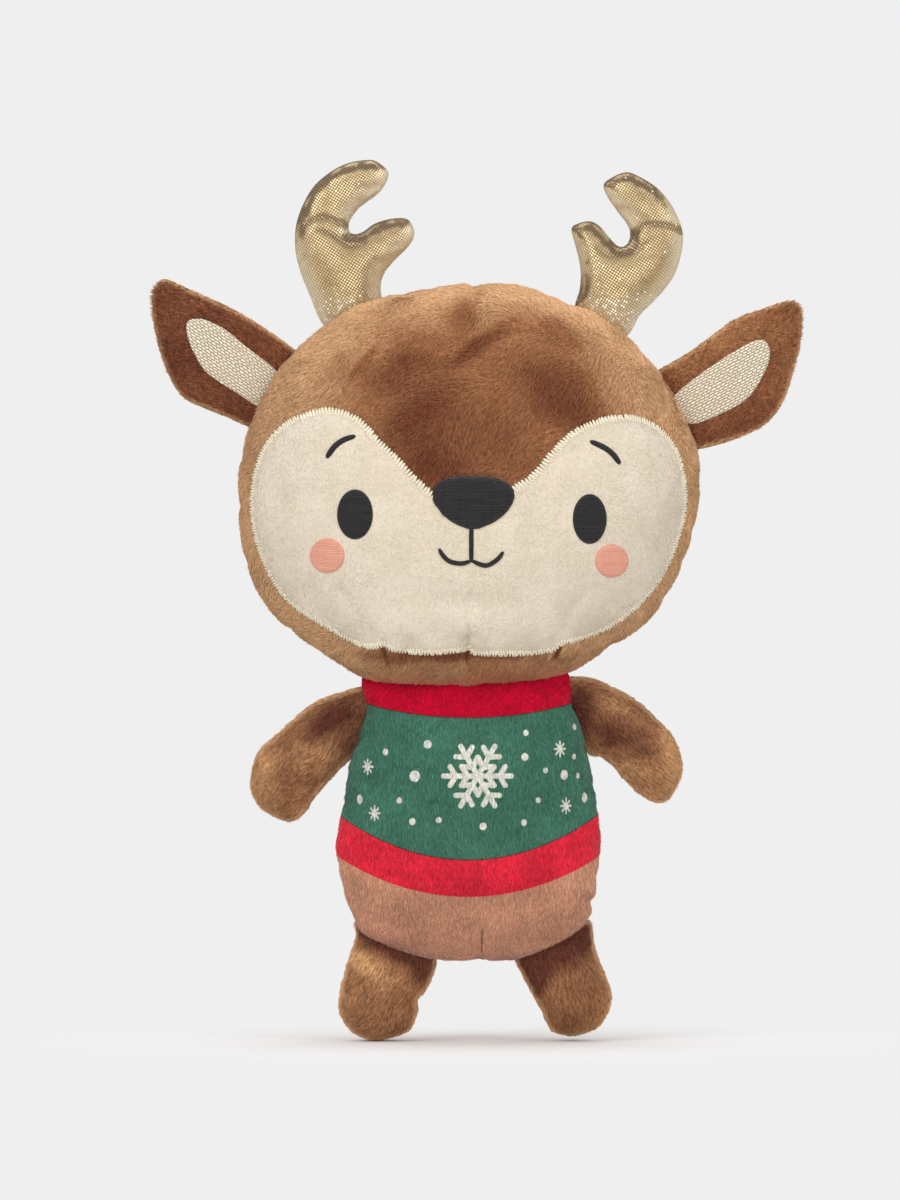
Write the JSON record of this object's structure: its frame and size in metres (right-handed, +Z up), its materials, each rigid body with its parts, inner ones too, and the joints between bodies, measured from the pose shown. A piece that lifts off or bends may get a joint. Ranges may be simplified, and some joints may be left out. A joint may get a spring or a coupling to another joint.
{
  "type": "plush deer",
  "caption": "Stuffed soft toy deer with a wide head, embroidered face, side ears, foil fabric antlers, a printed jumper and short stitched-on arms and legs.",
  "frame": {"origin": "on the floor, below the middle of the bounding box", "axes": "+Z up, the deer faces -Y, its left side is +X"},
  "size_m": [0.1962, 0.0914, 0.2649],
  "materials": {
    "head_plush": "short-pile plush, nap brushed in patches",
    "limb_plush": "short-pile plush",
    "cream_plush": "short-pile plush",
    "printed_plush": "short-pile plush with a printed red, green and brown jumper",
    "ear_embroidery": "cream embroidery fill",
    "black_thread": "satin embroidery",
    "pink_thread": "satin embroidery",
    "gold_foil_fabric": "fabric with a dense print of gold foil dots",
    "fibre_filling": "polyester fibre"
  },
  "bodies": {
    "body": {"body_front": "printed_plush", "body_back": "printed_plush", "body_filling": "fibre_filling"},
    "head": {"head_front": "head_plush", "head_back": "head_plush", "head_filling": "fibre_filling", "face_panel": "cream_plush", "nose": "black_thread", "mouth": "black_thread", "eye_right": "black_thread", "cheek_right": "pink_thread", "brow_right": "black_thread", "eye_left": "black_thread", "cheek_left": "pink_thread", "brow_left": "black_thread"},
    "ear_right": {"ear_front_right": "limb_plush", "ear_back_right": "limb_plush", "ear_inner_right": "ear_embroidery"},
    "antler_right": {"antler_front_right": "gold_foil_fabric", "antler_back_right": "gold_foil_fabric", "antler_filling_right": "fibre_filling"},
    "arm_right": {"arm_front_right": "limb_plush", "arm_back_right": "limb_plush", "arm_filling_right": "fibre_filling"},
    "leg_right": {"leg_front_right": "limb_plush", "leg_back_right": "limb_plush", "leg_filling_right": "fibre_filling"},
    "ear_left": {"ear_front_left": "limb_plush", "ear_back_left": "limb_plush", "ear_inner_left": "ear_embroidery"},
    "antler_left": {"antler_front_left": "gold_foil_fabric", "antler_back_left": "gold_foil_fabric", "antler_filling_left": "fibre_filling"},
    "arm_left": {"arm_front_left": "limb_plush", "arm_back_left": "limb_plush", "arm_filling_left": "fibre_filling"},
    "leg_left": {"leg_front_left": "limb_plush", "leg_back_left": "limb_plush", "leg_filling_left": "fibre_filling"}
  },
  "joints": [
    {"name": "neck_nod", "type": "hinge", "parent": "body", "child": "head", "pos_m": [-0.00297, 0.00165, 0.088], "axis": [1, 0, 0], "range_deg": [-8, 8], "stiffness_Nm_per_rad": 0.6},
    {"name": "ear_fold_right", "type": "hinge", "parent": "head", "child": "ear_right", "pos_m": [-0.06595, 0.00165, 0.19744], "axis": [0.544, 0, 0.8391], "range_deg": [-25, 25], "stiffness_Nm_per_rad": 0.03},
    {"name": "antler_bend_right", "type": "hinge", "parent": "head", "child": "antler_right", "pos_m": [-0.03871, 0.00165, 0.21999], "axis": [0.8869, 0, 0.462], "range_deg": [-15, 15], "stiffness_Nm_per_rad": 0.05},
    {"name": "arm_swing_right", "type": "hinge", "parent": "body", "child": "arm_right", "pos_m": [-0.03841, 0.00165, 0.09685], "axis": [0.1391, 0, 0.9903], "range_deg": [-45, 45], "stiffness_Nm_per_rad": 0.03},
    {"name": "leg_swing_right", "type": "hinge", "parent": "body", "child": "leg_right", "pos_m": [-0.02571, 0.00165, 0.02651], "axis": [-0.9167, 0, 0.3995], "range_deg": [-40, 50], "stiffness_Nm_per_rad": 0.3},
    {"name": "ear_fold_left", "type": "hinge", "parent": "head", "child": "ear_left", "pos_m": [0.06378, 0.00165, 0.19118], "axis": [0.3857, 0, -0.9226], "range_deg": [-25, 25], "stiffness_Nm_per_rad": 0.03},
    {"name": "antler_bend_left", "type": "hinge", "parent": "head", "child": "antler_left", "pos_m": [0.03714, 0.00165, 0.21725], "axis": [0.8589, 0, -0.5121], "range_deg": [-15, 15], "stiffness_Nm_per_rad": 0.05},
    {"name": "arm_swing_left", "type": "hinge", "parent": "body", "child": "arm_left", "pos_m": [0.03247, 0.00165, 0.09685], "axis": [0.1391, 0, -0.9903], "range_deg": [-45, 45], "stiffness_Nm_per_rad": 0.03},
    {"name": "leg_swing_left", "type": "hinge", "parent": "body", "child": "leg_left", "pos_m": [0.02188, 0.00165, 0.02745], "axis": [-0.875, 0, -0.4841], "range_deg": [-40, 50], "stiffness_Nm_per_rad": 0.3}
  ]
}
